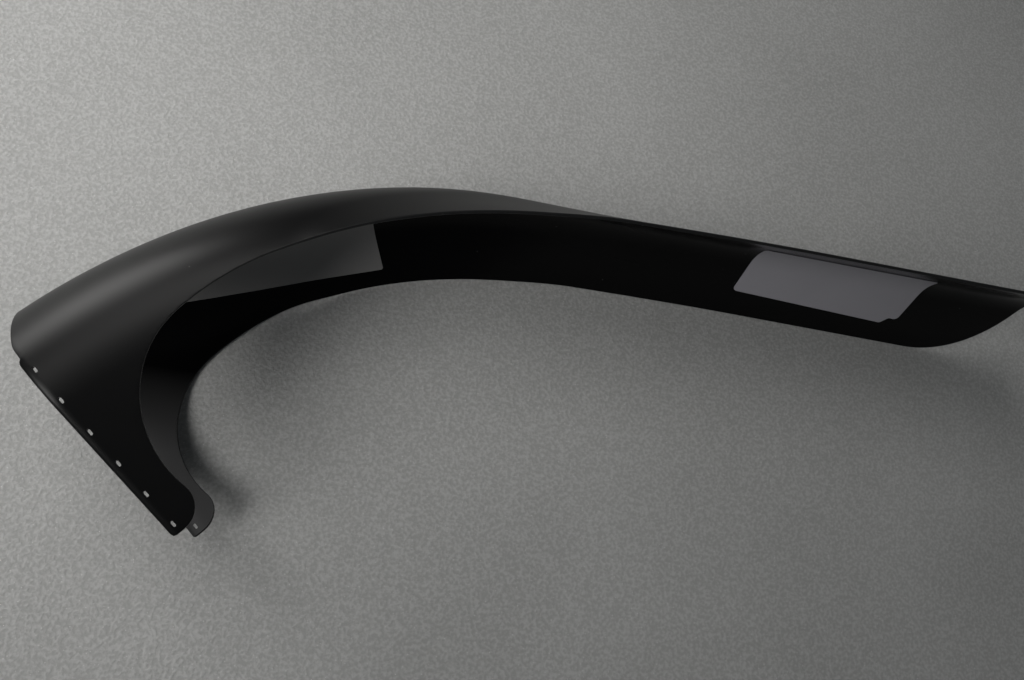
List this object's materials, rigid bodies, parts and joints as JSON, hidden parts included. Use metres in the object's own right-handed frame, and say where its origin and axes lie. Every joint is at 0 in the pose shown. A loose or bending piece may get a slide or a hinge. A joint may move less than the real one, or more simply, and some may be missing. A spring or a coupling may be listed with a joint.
{
  "type": "bicycle mudguard",
  "caption": "One-piece moulded rear bicycle mudguard with a ridged tail, arched crown and slotted wings that strap to the seat stays.",
  "frame": {"origin": "middle of the footprint, on the floor that the mudguard lies on, one side down", "axes": "+X along the tail from the wings to the round end, +Y from the wheel out to the crown, +Z across the wheel, up as it lies"},
  "size_m": [0.6948, 0.24, 0.139],
  "materials": {
    "moulding": "satin black outside, gloss black inside",
    "label_paper": "pale grey paper",
    "grey_film": "dark grey satin film"
  },
  "bodies": {
    "root": {"mudguard": "moulding", "label": "label_paper", "grey_strip": "grey_film"}
  },
  "joints": []
}
